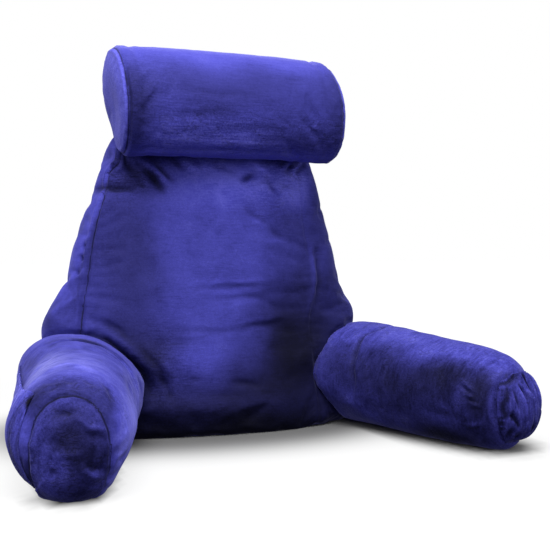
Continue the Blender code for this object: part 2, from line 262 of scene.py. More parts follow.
def filled(piece, lines, size):
    # fills the cover: cloth under pressure, held along its seams, moved by no more than the cap
    before = points(piece)
    away = np.min([toLine(before, line)[0] for line in lines], axis=0)
    held = np.exp(-(away / size["heldHalf"]) ** 2)
    group = piece.vertex_groups.new(name="held")
    for i in np.nonzero(held > filling["leastHeld"])[0]:
        group.add([int(i)], float(held[i]), "REPLACE")
    cloth = piece.modifiers.new("cover", "CLOTH")
    settings = cloth.settings
    settings.quality = filling["quality"]
    settings.mass = filling["mass"]
    settings.use_pressure = True
    settings.uniform_pressure_force = size["pressure"]
    settings.vertex_group_mass = "held"
    settings.shrink_min = -size["slack"]
    settings.effector_weights.gravity = 0
    cloth.collision_settings.use_collision = False
    cloth.point_cache.frame_start, cloth.point_cache.frame_end = 1, filling["frames"]
    for number in range(1, filling["frames"] + 1):
        scene.frame_set(number)
    bakeModifiers(piece)
    scene.frame_set(1)
    move = points(piece) - before
    far = np.linalg.norm(move, axis=1)
    setPoints(piece, before + move * np.minimum(1, size["cap"] / np.maximum(far, 1e-9))[:, None])
    piece.vertex_groups.clear()
    print(piece.name, "filled, largest move", round(float(far.max()), 4))


def settled(piece, own, neighbours):
    # near a neighbour the skin stays in the space of its own solid, and nothing goes under the floor
    co = points(piece)
    for i, p in enumerate(co):
        v = Vector(p)
        hits = [trees[other].find_nearest(v, skin["nearby"]) for other in neighbours]
        apart = min([hit[3] for hit in hits if hit[0] is not None], default=None)
        if apart is None:
            continue
        place, facing, _, _ = trees[own].find_nearest(v)
        stand = (v - place).dot(facing)
        allowed = max(0.0, apart - skin["air"]) * skin["room"]
        if stand > allowed:
            co[i] = v - facing * (stand - allowed)
    co[:, 2] = np.maximum(co[:, 2], skin["floor"])
    setPoints(piece, co)


def cushion(node, name, lines, size):
    # the skin of the node's solid, made even, filled and made finer
    piece = coverOf(node, name)
    voxelSkin(piece, size["voxel"])
    smoothed(piece, size["smoothing"])
    filled(piece, lines, size)
    subdivided(piece)
    return piece, points(piece), normals(piece)


def finished(piece, node, material):
    piece.data.shade_smooth()
    piece.data.materials.clear()
    piece.data.materials.append(material)
    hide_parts(node)
    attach(piece, "root")
    print(piece.name, "made,", sum(len(f.vertices) - 2 for f in piece.data.polygons), "triangles")


def castLine(tree, starts, directions):
    hits = [tree.ray_cast(Vector(a), Vector(d).normalized())[0] for a, d in zip(starts, directions)]
    return [tuple(hit) for hit in hits if hit is not None]


# plush

plush = {
    "light": (0.135, 0.135, 0.580),
    "body": (0.050, 0.050, 0.335),
    "shade": (0.012, 0.012, 0.115),
    "paintedHighlight": (0.300, 0.300, 0.700),  # a painted highlight, where the pile catches the light
    "stops": {"shade": 0.34, "body": 0.50, "light": 0.68},  # places on the ramp
    "roughness": (0.87, 0.63),
    "shader": {"Sheen Weight": 0.22, "Sheen Roughness": 0.33, "Sheen Tint": (0.42, 0.42, 1, 1),
               "Specular IOR Level": 0.1},
    "calm": 0.25,  # texture left where the pile isn't crushed
    "blotchShare": 0.26,
    "streakShare": 0.40,
    "mottleShare": 0.34,
    "toneShare": 0.12,
    "patchShares": (0.6, 0.4),  # hand and clump, where streaks fade
    "patches": (0.42, 0.60, 1.0, 0.3),
    "highlightStreaks": (0.36, 0.62, 0.30, 1.0),
    "grain": (1.1, 0.975),
    "stitchReach": (0.0003, 0.0022),
    "stitchDark": 0.26,
    "packedHalf": 0.006,
    "packedDark": 0.82,
    "creaseHalf": 0.055,
    "creaseClumps": (0.44, 0.56),
    "creaseDark": 0.50,
}
# scale, detail, roughness, distortion
plushNoises = {
    "hand": (11, 3, 0.5, 1.0),  # patches that a hand has brushed
    "clump": (42, 4, 0.6, 0.8),
    "mottle": (330, 3, 0.7, 0.2),
    "pile": (1100, 1, 0.6, 0.0),
    "streak": (1, 3, 0.6, 0.3),  # the comb of the pile
    "wave": (1, 2, 0.55, 1.1),  # its thin bands are creases
}
# strength, distance
plushBumps = {
    "crease": (0.3, 0.002),
    "streak": (0.35, 0.0012),
    "clump": (0.35, 0.004),
    "mottle": (0.4, 0.001),
    "pile": (0.5, 0.0006),
}


def newMaterial(name, settings):
    material = bpy.data.materials.new(name)
    material.use_nodes = True
    shader = material.node_tree.nodes["Principled BSDF"]
    for socket, value in settings.items():
        shader.inputs[socket].default_value = value
    return material, material.node_tree, shader


def feed(socket, value):
    if isinstance(value, bpy.types.NodeSocket):
        socket.id_data.links.new(value, socket)
    else:
        socket.default_value = value


def addNode(tree, kind, **values):
    # values are the node's settings and what goes into its inputs
    node = tree.nodes.new(kind)
    for name, value in values.items():
        if name in node.inputs:
            feed(node.inputs[name], value)
        else:
            setattr(node, name, value)
    return node


def rangeOf(tree, value, fromMin, fromMax, toMin, toMax, kind="LINEAR"):
    limits = {"Value": value, "From Min": fromMin, "From Max": fromMax, "To Min": toMin, "To Max": toMax}
    return addNode(tree, "ShaderNodeMapRange", interpolation_type=kind, **limits).outputs["Result"]


def mathsOf(tree, operation, a, b=0.0):
    made = addNode(tree, "ShaderNodeMath", operation=operation)
    feed(made.inputs[0], a)
    feed(made.inputs[1], b)
    return made.outputs[0]


def storedOf(tree, attribute):
    return addNode(tree, "ShaderNodeAttribute", attribute_name=attribute).outputs["Fac"]


def plushMaterial(name, comb, crinkle, turn=0.0, blotch=1.0, paintedShadeScale=1.0):
    # comb and crinkle are streaks and creases a metre each way, once turned about the vertical
    # the last argument scales all colours down, a painted shade
    material, tree, shader = newMaterial(name, plush["shader"])

    def maths(*values):
        return mathsOf(tree, *values)

    def product(first, *others):
        for other in others:
            first = maths("MULTIPLY", first, other)
        return first

    def ranged(value, *limits, kind="SMOOTHSTEP"):
        return rangeOf(tree, value, *limits, kind)

    def mapped(scale):
        return addNode(tree, "ShaderNodeMapping", Vector=spun.outputs[0], Scale=scale).outputs[0]

    def textured(kind, source):
        scale, detail, rough, distortion = plushNoises[kind]
        return addNode(tree, "ShaderNodeTexNoise", Vector=source, Scale=scale, Detail=detail,
                       Roughness=rough, Distortion=distortion).outputs["Fac"]

    def coloured(kind, factor, a, b):
        made = addNode(tree, "ShaderNodeMix", data_type="RGBA", blend_type=kind)
        for number, value in zip((0, 6, 7), (factor, a, b)):  # the sockets of a colour mix
            feed(made.inputs[number], value)
        return made.outputs[2]

    place = addNode(tree, "ShaderNodeTexCoord").outputs["Object"]
    spun = addNode(tree, "ShaderNodeVectorRotate", rotation_type="Z_AXIS", Vector=place, Angle=turn)
    hand, clump, mottle, pile = [textured(kind, place) for kind in ("hand", "clump", "mottle", "pile")]
    streak, wave = textured("streak", mapped(comb)), textured("wave", mapped(crinkle))
    seam, tone, crush, paintedHighlight = [storedOf(tree, kept) for kept in ("seam", "tone", "crush", "paintedHighlight")]
    calm = ranged(crush, 0.0, 1.0, plush["calm"], 1.0, kind="LINEAR")

    def centred(value):
        return maths("SUBTRACT", value, 0.5)

    def calmed(value):
        return product(centred(value), calm)

    crease = product(ranged(maths("ABSOLUTE", centred(wave)), 0.0, plush["creaseHalf"], 1.0, 0.0),
                     ranged(clump, *plush["creaseClumps"], 0.0, 1.0), crush)
    uncrushed = maths("SUBTRACT", 1.0, product(crease, plush["creaseDark"]))

    # the lie of the pile picks its colour, and the painted light and shade of the tone moves it along the
    # ramp
    handShare, clumpShare = plush["patchShares"]
    patchy = ranged(maths("ADD", product(hand, handShare), product(clump, clumpShare)), *plush["patches"])
    fine = maths("ADD", product(calmed(streak), product(patchy, plush["streakShare"])),
                 product(calmed(mottle), plush["mottleShare"]))
    spots = plush["blotchShare"] * blotch
    nap = maths("ADD", product(centred(hand), spots), product(centred(clump), spots))
    nap = maths("ADD", maths("ADD", nap, fine), 0.5)
    lie = maths("ADD", nap, product(maths("SUBTRACT", tone, 1.0), plush["toneShare"]))
    ramp = addNode(tree, "ShaderNodeValToRGB", Fac=lie)
    ramp.color_ramp.elements.new(plush["stops"]["body"])
    for stop, (kind, position) in zip(ramp.color_ramp.elements, plush["stops"].items()):
        stop.position = position
        stop.color = (*[c * paintedShadeScale for c in plush[kind]], 1)

    # seams, creases and grain darken it, a painted highlight pales it, and the tone lightens or darkens it
    # with painted light and shade
    away = maths("ABSOLUTE", seam)
    keep = product(ranged(away, *plush["stitchReach"], plush["stitchDark"], 1.0),
                   ranged(away, 0.0, plush["packedHalf"], plush["packedDark"], 1.0))
    spread, level = plush["grain"]
    grain = maths("ADD", product(calmed(pile), spread), level)
    highlighted = coloured("MIX", product(paintedHighlight, ranged(streak, *plush["highlightStreaks"])),
                      ramp.outputs["Color"], (*plush["paintedHighlight"], 1))
    darkened = coloured("MULTIPLY", 1.0, highlighted, product(keep, uncrushed, grain, tone))
    feed(shader.inputs["Base Color"], darkened)
    feed(shader.inputs["Roughness"], ranged(nap, 0.35, 0.65, *plush["roughness"], kind="LINEAR"))

    heights = {"crease": uncrushed, "streak": calmed(streak), "clump": calmed(clump),
               "mottle": calmed(mottle), "pile": calmed(pile)}
    bumps = None
    for kind, (strength, distance) in plushBumps.items():
        bump = addNode(tree, "ShaderNodeBump", Strength=strength, Distance=distance, Height=heights[kind])
        if bumps is not None:
            feed(bump.inputs["Normal"], bumps)
        bumps = bump.outputs["Normal"]
    feed(shader.inputs["Normal"], bumps)
    return material


# back cushion

back = {
    "voxel": 0.0063,
    "smoothing": 3,
    "heldHalf": 0.008,
    "cap": 0.007,
    "pressure": 4,
    "slack": 0.02,
    "inset": 0.0015,  # the seams lie this far inside the corners
    "sinks": (0.0042, 0.0010, 0.0025, 0.0025),
    "pale": (0.0, 0.0013, 0.0, 0.0),
    "sinkHalf": 0.004,
    "pucker": 0.0016,
    "foldsFrom": (0.01, 0.03),  # they fade out at the foot
    "loose": ((0.0016, 16, 2), (0.0006, 45, 4)),
    "foldShade": (110, 0.28, 1.3),
    # painted light and shade: the tones of the front and side panels under their patches
    "tone": 0.62,
    "sideTone": 0.9,
    "sideCrush": 0.3,
    "facing": (0.25, 0.6),  # where the front's painted light and shade and its crush start and are full
    "comb": (55, 55, 420),
    "crinkle": (34, 34, 105),
    "crush": 0.15,
    "blotch": 0.5,
}

# where the seams are seen from in front and behind: height, then how far out on the left, right and rear
backSeamRows = (
    (0.012, 0.218, 0.149, 0.202),
    (0.03, 0.221, 0.15, 0.204),
    (0.06, 0.225, 0.15, 0.204),
    (0.12, 0.23, 0.151, 0.2),
    (0.17, 0.232, 0.154, 0.196),
    (0.205, 0.225, 0.159, 0.192),
    (0.24, 0.218, 0.164, 0.187),
    (0.3, 0.208, 0.158, 0.178),
    (0.34, 0.199, 0.153, 0.171),
    (0.37, 0.188, 0.151, 0.165),
    (0.39, 0.184, 0.15, 0.161),
    (0.41, 0.178, 0.149, 0.157),
    (0.418, 0.171, 0.149, 0.155),
    (0.424, 0.163, 0.148, 0.153),
    (0.45, 0.157, 0.145, 0.147),
)

# painted light and shade on the front panel, as x and z: middle, reach, tone
frontPaintedShading = (
    (-0.01, 0.33, 0.15, 0.13, 0.86),
    (-0.035, 0.185, 0.085, 0.11, 0.82),
    (0.045, 0.405, 0.125, 0.042, 1.45),
    (0.135, 0.395, 0.036, 0.042, 1.6),
    (-0.16, 0.27, 0.04, 0.11, 0.42),
    (-0.14, 0.095, 0.066, 0.08, 0.19),
    (0.15, 0.13, 0.09, 0.14, 0.16),
    (-0.04, 0.075, 0.09, 0.04, 0.5),
    (0.05, 0.05, 0.105, 0.075, 0.15),
    (0.105, 0.115, 0.05, 0.08, 0.08),
    (-0.052, 0.118, 0.055, 0.036, 0.92),
    (-0.06, 0.045, 0.16, 0.018, 0.32),
    (-0.04, 0, 0.3, 0.055, 0.04),
    (-0.15, 0.392, 0.042, 0.024, 0.42),
    (-0.173, 0.438, 0.01, 0.016, 0.06),
)
# painted light and shade on the left side panel, as y and z: middle, reach, tone
sidePaintedShading = (
    (0.06, 0.2, 0.12, 0.26, 1.1),
    (-0.012, 0.178, 0.06, 0.016, 0.55),
)
frontCrushed = (
    (-0.15, 0.405, 0.055, 0.04, 1.0),
    (0.12, 0.425, 0.07, 0.022, 0.9),
    (-0.06, 0.43, 0.06, 0.018, 0.8),
    (-0.13, 0.1, 0.05, 0.06, 0.7),
    (0.09, 0.37, 0.05, 0.05, 0.5),
    (0, 0.02, 0.3, 0.03, 0.5),
)

# half width, lift, and a line as x and z
frontFolds = (
    # the gathered corner under the roll, upper left
    (0.008, -0.018, (-0.174, 0.452), (-0.171, 0.43)),
    (0.004, 0.0035, (-0.184, 0.438), (-0.182, 0.418), (-0.188, 0.4)),
    (0.004, 0.004, (-0.178, 0.414), (-0.168, 0.424), (-0.156, 0.428)),
    (0.004, 0.005, (-0.159, 0.45), (-0.16, 0.432)),
    (0.003, -0.005, (-0.153, 0.446), (-0.152, 0.428)),
    (0.0052, -0.0095, (-0.132, 0.424), (-0.112, 0.396), (-0.101, 0.38)),
    (0.0045, 0.0045, (-0.142, 0.412), (-0.128, 0.396), (-0.116, 0.384)),
    (0.0055, 0.004, (-0.136, 0.436), (-0.112, 0.412), (-0.095, 0.392)),
    (0.0045, -0.006, (-0.12, 0.436), (-0.1, 0.414), (-0.086, 0.398)),
    (0.006, -0.0065, (-0.156, 0.432), (-0.14, 0.41), (-0.128, 0.392)),
    (0.0045, -0.006, (-0.194, 0.389), (-0.168, 0.383), (-0.144, 0.384)),
    (0.007, 0.0035, (-0.182, 0.373), (-0.138, 0.375)),
    (0.006, 0.003, (-0.18, 0.404), (-0.16, 0.4)),
    # short puckers below the roll
    (0.0045, -0.0045, (-0.086, 0.434), (-0.078, 0.428), (-0.066, 0.417)),
    (0.005, 0.003, (-0.072, 0.434), (-0.056, 0.42)),
    (0.0045, -0.0025, (-0.05, 0.434), (-0.04, 0.424)),
    (0.005, -0.003, (-0.022, 0.424), (0.014, 0.413)),
    (0.005, -0.005, (0.028, 0.401), (0.04, 0.405), (0.052, 0.411)),
    (0.005, 0.003, (0.047, 0.432), (0.076, 0.417)),
    (0.0045, -0.003, (0.072, 0.405), (0.082, 0.394), (0.093, 0.38)),
    (0.0045, -0.0045, (0.168, 0.437), (0.146, 0.419)),
    (0.004, 0.003, (0.156, 0.438), (0.134, 0.424)),
    (0.004, -0.0045, (0.148, 0.437), (0.119, 0.42)),
    (0.004, 0.0025, (0.132, 0.438), (0.104, 0.424)),
    (0.004, -0.003, (0.118, 0.438), (0.098, 0.428)),
    # slack folds across the panel
    (0.0045, -0.0016, (0.034, 0.351), (0.05, 0.342), (0.07, 0.332)),
    (0.0045, -0.0016, (0.074, 0.325), (0.086, 0.315), (0.098, 0.307)),
    (0.006, 0.0016, (0.04, 0.34), (0.066, 0.324)),
    (0.005, 0.0016, (0.066, 0.302), (0.104, 0.301)),
    (0.005, 0.0013, (-0.07, 0.234), (-0.02, 0.238), (0.02, 0.236), (0.07, 0.24)),
    (0.004, -0.0007, (-0.06, 0.228), (0.01, 0.231), (0.062, 0.228)),
    (0.005, 0.0014, (-0.05, 0.221), (0.01, 0.219), (0.05, 0.222)),
    (0.0045, -0.0008, (-0.02, 0.211), (0.02, 0.214), (0.06, 0.212)),
    (0.006, 0.0012, (0, 0.204), (0.07, 0.205)),
    (0.0036, -0.0018, (0.02, 0.166), (0.056, 0.169), (0.092, 0.171)),
    (0.005, 0.0012, (0.016, 0.174), (0.084, 0.178)),
    (0.005, -0.0012, (-0.104, 0.167), (-0.04, 0.162), (0.022, 0.163)),
    (0.006, -0.0012, (-0.12, 0.15), (-0.06, 0.146)),
    (0.0055, -0.003, (-0.012, 0.083), (0.012, 0.08), (0.036, 0.075)),
    (0.007, -0.0018, (-0.06, 0.066), (0, 0.062)),
    (0.005, -0.002, (-0.08, 0.09), (-0.062, 0.09)),
    # the skirt of the panel over the arms' roots
    (0.005, -0.0075, (-0.236, 0.163), (-0.218, 0.159), (-0.199, 0.153), (-0.184, 0.142), (-0.169, 0.126),
     (-0.151, 0.106), (-0.139, 0.086), (-0.136, 0.07)),
    (0.0042, 0.003, (-0.228, 0.177), (-0.2, 0.168), (-0.176, 0.15), (-0.155, 0.128), (-0.136, 0.106),
     (-0.124, 0.086)),
    (0.004, -0.003, (-0.194, 0.178), (-0.176, 0.166), (-0.16, 0.148)),
    (0.0042, -0.0034, (-0.152, 0.146), (-0.135, 0.124), (-0.122, 0.104)),
    (0.0055, -0.0045, (-0.122, 0.1), (-0.112, 0.078)),
    (0.0045, 0.0025, (-0.118, 0.118), (-0.104, 0.098)),
    (0.006, -0.003, (-0.11, 0.074), (-0.102, 0.064)),
    (0.006, 0.0035, (0.166, 0.294), (0.166, 0.25), (0.162, 0.216), (0.146, 0.18)),
    (0.006, -0.0035, (0.176, 0.286), (0.177, 0.24), (0.168, 0.2)),
)

# dimples in the left side panel, as y and z
sideFolds = (
    (0.005, -0.006, (0.006, 0.298), (0.004, 0.289)),
    (0.005, -0.006, (0.002, 0.279), (0.004, 0.27)),
    (0.005, -0.0045, (0.003, 0.258), (0.005, 0.25)),
    (0.007, -0.005, (0, 0.392), (0.05, 0.384)),
    (0.012, -0.003, (0, 0.22), (0.06, 0.19)),
    (0.012, -0.003, (0.03, 0.33), (0.08, 0.3)),
)


def backSeams():
    heights, left, right, rear = zip(*backSeamRows)
    lines, sides = [], []
    for column, sign, front in ((left, -1, -1), (right, 1, -1), (rear, -1, 1), (rear, 1, 1)):
        reach = [x - back["inset"] for x in column]
        starts = [(sign * x, front, z) for x, z in zip(reach, heights)]
        lines.append(castLine(trees["back_cushion"], starts, [(0, -front, 0)] * len(starts)))
        sides.append(lambda co, sign=sign, reach=reach: np.interp(co[:, 2], heights, reach) - sign * co[:, 0])
    return lines, sides


def makeBack():
    lines, sides = backSeams()
    piece, co, out = cushion("back_cushion", "backCushion", lines, back)
    front = np.clip(-out[:, 1], 0, 1) * step(co[:, 2], *back["foldsFrom"])
    left = np.clip(-out[:, 0], 0, 1)
    lift = foldHeights(co[:, [0, 2]], frontFolds, 3) * front
    lift += foldHeights(co[:, [1, 2]], sideFolds, 9) * left
    setPoints(piece, co + out * (lift + looseness(co, back["loose"]))[:, None])
    sewn(piece, lines, sides, back["sinks"], back["pale"], back)
    settled(piece, "back_cushion", ("arm_left", "arm_right", "neck_roll"))

    co = points(piece)
    # painted light and shade of the side and front panels, with painted shade in the fold troughs
    facing = step(-out[:, 1], *back["facing"])
    tone = mixed(patchedLightShadeAndCrush(co[:, [1, 2]], back["sideTone"], sidePaintedShading, 4),
                 patchedLightShadeAndCrush(co[:, [0, 2]], back["tone"], frontPaintedShading, 3), facing)
    crush = patchedLightShadeAndCrush(co[:, [0, 2]], back["crush"], frontCrushed, 5)
    store(piece, "tone", shaded(tone, lift, back["foldShade"]))
    store(piece, "crush", crush * mixed(back["sideCrush"], 1, facing))
    material = plushMaterial("plushBack", back["comb"], back["crinkle"], blotch=back["blotch"])
    finished(piece, "back_cushion", material)


# arms

arm = {
    "voxel": 0.0045,
    "smoothing": 6,
    "heldHalf": 0.007,
    "cap": 0.005,
    "pressure": 4,
    "slack": 0.02,
    "root": (0.229, -0.0485),
    "tip": (0.3194, -0.3640),
    "lowest": -60,  # degrees round an arm run from here to 300
    "seamSteps": 60,
    "rightSeam": 0.334,
    "rightSeamShows": (140, 160),  # degrees
    # where the left cap's seam lies along the arm
    "seamDegrees": (-60, -40, -21, 4, 29, 59, 98, 163, 186, 218, 231, 250, 270, 290, 307, 320),
    "leftSeam": (0.311, 0.323, 0.329, 0.329, 0.325, 0.324, 0.325, 0.333, 0.333, 0.328, 0.321, 0.312,
                 0.307, 0.309, 0.315, 0.323),
    # how far along the left arm the painted shade towards the cap begins
    "shoulderDegrees": (20, 37, 57, 77, 97, 116, 135, 148, 160, 200, 300),
    "shoulder": (0.282, 0.278, 0.276, 0.286, 0.293, 0.289, 0.291, 0.302, 0.318, 0.324, 0.312),
    "shoulderWander": ((0.008, 40, 12),),
    "shoulderEdge": (0.014, 0.022),
    "shoulderShade": 0.55,
    "capEdge": (-0.001, 0.003),
    # painted shade over the left arm's end cap
    "capShading": 0.6,
    "capCrush": 0.9,
    "middle": 0.080,
    "degree": 0.0013,  # metres of cloth in a degree
    "sink": 0.0018,
    "sinkHalf": 0.0030,
    "pucker": 0.0014,
    "loose": ((0.0014, 18, 6), (0.0005, 55, 8)),
    "foldShade": (110, 0.28, 1.3),
    "comb": (210, 40, 50),
    "crinkle": (60, 36, 105),
}

# painted light and shade, and crushed pile, on the arms, as metres along and degrees round
leftArmPaintedShading = (
    (0.16, 90, 0.12, 60, 0.9),
    (0.29, 150, 0.08, 34, 1.00),
    (0.27, 196, 0.12, 34, 1.7),
    (0.305, 42, 0.016, 16, 0.65),
    (0.316, -4, 0.024, 26, 2.4),
    (0.31, 222, 0.03, 16, 1.7),
    (0.066, 100, 0.012, 19, 0.32),
    (0.082, 132, 0.014, 14, 0.5),
)
rightArmPaintedShading = (
    (0.23, 172, 0.26, 44, 0.26),
    (0.245, 157, 0.04, 13, 0.2),
    (0.312, 180, 0.012, 44, 0.2),
    (0.284, 179, 0.011, 17, 0.46),
    (0.302, 214, 0.024, 13, 0.46),
    (0.24, 233, 0.08, 16, 0.13),
    (0.27, 119, 0.08, 15, 1.02),
    (0.3285, 185, 0.0034, 70, 0.6),
    (0.3345, 190, 0.0024, 55, 0.25),
)
# a painted highlight on the left arm, as metres along and degrees round
leftArmPaintedHighlight = (
    (0.21, 58, 0.055, 26, 0.55),
    (0.215, 98, 0.05, 28, 0.18),
)
leftArmCrushed = (
    (0.306, 100, 0.024, 60, 0.9),
    (0.09, 150, 0.03, 40, 0.8),
    (0.18, 90, 0.08, 50, 0.1),
)
rightArmCrushed = (
    (0.29, 172, 0.045, 26, 0.9),
    (0.3, 214, 0.06, 16, 0.8),
)
# painted light and shade on the left end cap, as metres out of the pillow and height
capPaintedShading = (
    (0, 0.1, 0.04, 0.022, 0.5),
    (-0.008, 0.078, 0.022, 0.026, 0.2),
    (-0.02, 0.056, 0.026, 0.026, 0.24),
    (-0.016, 0.026, 0.03, 0.018, 0.45),
    (0.034, 0.06, 0.014, 0.06, 0.62),
    (0.01, 0.05, 0.012, 0.014, 0.72),
    (0.024, 0.034, 0.018, 0.024, 0.82),
    (-0.032, 0.03, 0.012, 0.02, 0.66),
)

# lines as metres along an arm and degrees round it: 0 out of the pillow, 90 up, 180 inside
leftArmFolds = (
    (0.005, -0.006, (0.088, 62), (0.079, 85), (0.075, 99), (0.072, 112), (0.076, 128), (0.08, 150)),
    (0.0026, -0.0022, (0.07, 120), (0.084, 134), (0.091, 157), (0.092, 172)),
    (0.0026, -0.0018, (0.083, 118), (0.097, 134), (0.103, 157), (0.104, 174)),
    (0.0024, 0.001, (0.078, 120), (0.091, 134), (0.097, 157), (0.098, 174)),
    (0.006, -0.0014, (0.104, 110), (0.116, 140), (0.118, 170)),
    (0.008, 0.0018, (0.265, 37), (0.252, 62), (0.238, 80), (0.252, 101), (0.256, 124)),
    (0.0045, -0.0026, (0.286, 62), (0.3, 76)),
    (0.0045, -0.0022, (0.3, 84), (0.306, 96)),
    (0.004, -0.0026, (0.311, 64), (0.309, 80)),
    (0.0035, 0.0018, (0.318, 58), (0.317, 74)),
    (0.0055, -0.0024, (0.296, 104), (0.306, 122)),
    (0.007, -0.0024, (0.286, 126), (0.312, 150)),
    (0.0055, -0.0022, (0.29, 200), (0.318, 214)),
    (0.005, -0.0022, (0.3, 222), (0.322, 232)),
    (0.01, -0.002, (0.06, 30), (0.15, 44)),
    (0.008, -0.0016, (0.05, 58), (0.11, 66)),
    (0.01, -0.0012, (0.14, 150), (0.2, 160)),
    (0.0035, -0.0022, (0.308, 276), (0.322, 280)),
    (0.0035, -0.0022, (0.312, 258), (0.324, 262)),
    (0.0035, -0.0024, (0.306, 238), (0.32, 242)),
)
rightArmFolds = (
    (0.0045, -0.005, (0.07, 62), (0.074, 96), (0.066, 118), (0.08, 150), (0.086, 178)),
    (0.0035, 0.0024, (0.286, 162), (0.305, 171)),
    (0.0032, 0.0022, (0.296, 176), (0.307, 180)),
    (0.0035, 0.0024, (0.3, 184), (0.316, 189)),
    (0.0035, -0.0022, (0.288, 168), (0.306, 176)),
    (0.0032, -0.0022, (0.298, 181), (0.312, 186)),
    (0.008, -0.0018, (0.25, 150), (0.262, 176)),
    (0.007, -0.0016, (0.22, 200), (0.3, 208)),
    (0.004, 0.0024, (0.296, 214), (0.312, 214)),
    (0.012, -0.0018, (0.15, 140), (0.17, 190)),
    (0.0024, 0.0018, (0.3275, 120), (0.3285, 140), (0.3285, 200), (0.3275, 250)),
    (0.01, -0.002, (0.1, 30), (0.18, 50)),
)
# the left arm's end is pressed flat on the floor, the right arm slopes to its end
leftArmForm = (
    (0.016, 0.005, (0.24, 300), (0.29, 298), (0.326, 297)),
    (0.016, 0.0055, (0.24, 242), (0.29, 243), (0.326, 244)),
)
rightArmForm = (
    (0.032, -0.0055, (0.08, 105), (0.2, 108), (0.33, 112)),
    (0.024, -0.006, (0.31, 112), (0.334, 114)),
)
# lines on the left end cap, as metres out of the pillow and height
leftCapFolds = (
    (0.0045, -0.0045, (0.018, 0.104), (0.004, 0.107), (-0.009, 0.107)),
    (0.0035, 0.0032, (-0.008, 0.103), (-0.016, 0.098), (-0.022, 0.091), (-0.041, 0.086)),
    (0.004, -0.0024, (-0.02, 0.084), (-0.04, 0.079)),
    (0.006, -0.002, (0.024, 0.078), (0.004, 0.072)),
    (0.004, -0.0032, (-0.022, 0.047), (-0.04, 0.04)),
    (0.004, 0.002, (-0.018, 0.04), (-0.036, 0.032)),
    (0.0045, -0.0034, (0.022, 0.044), (0.014, 0.038)),
    (0.0045, 0.0018, (0.012, 0.06), (-0.018, 0.063)),
    (0.0035, 0.0018, (-0.004, 0.118), (0.014, 0.117)),
    (0.0045, 0.0018, (0.03, 0.092), (0.038, 0.068)),
)


# the right arm and its end pocket are painted darker, 0.9 of the colour, a painted shade
arms = {
    "leftArm": {"node": "arm_left", "side": -1, "pocket": "side_pocket", "fill": 0.8, "shadeScale": 1.0,
                "folds": leftArmFolds, "form": leftArmForm,
                "paintedShading": leftArmPaintedShading, "crushed": leftArmCrushed, "crush": 0.28},
    "rightArm": {"node": "arm_right", "side": 1, "pocket": "end_pocket", "fill": 0.7, "shadeScale": 0.9,
                 "folds": rightArmFolds, "form": rightArmForm,
                 "paintedShading": rightArmPaintedShading, "crushed": rightArmCrushed, "crush": 0.65},
}


def armAxes(side):
    root, tip = (np.array((side * x, y)) for x, y in (arm["root"], arm["tip"]))
    heading = (tip - root) / np.linalg.norm(tip - root)
    return root, heading, np.array((-heading[1], heading[0])) * side


def onArm(co, side):
    # metres along an arm, metres out of the pillow, degrees round
    root, heading, across = armAxes(side)
    along, outwards = (co[:, :2] - root) @ heading, (co[:, :2] - root) @ across
    degrees = np.degrees(np.arctan2(co[:, 2] - arm["middle"], outwards))
    return along, outwards, np.where(degrees < arm["lowest"], degrees + 360, degrees)


def foldsInCloth(folds, degree):
    # their degrees as metres of cloth
    return [(half, lift, *(np.array(line) * (1, degree))) for half, lift, *line in folds]


def patchesInCloth(patches, degree):
    return np.array(patches) * (1, degree, 1, degree, 1)


def seamPlace(degrees, side):
    if side > 0:
        return np.full(np.shape(degrees), arm["rightSeam"])
    return np.interp(degrees, arm["seamDegrees"], arm["leftSeam"])


def capSeam(side, node):
    root, heading, across = armAxes(side)
    starts, directions = [], []
    for degrees in np.linspace(arm["lowest"], arm["lowest"] + 360, arm["seamSteps"] + 1):
        centre = root + heading * float(seamPlace(degrees, side))
        a = math.radians(degrees)
        starts.append((centre[0], centre[1], arm["middle"]))
        directions.append((across[0] * math.cos(a), across[1] * math.cos(a), math.sin(a)))
    return castLine(trees[node], starts, directions)


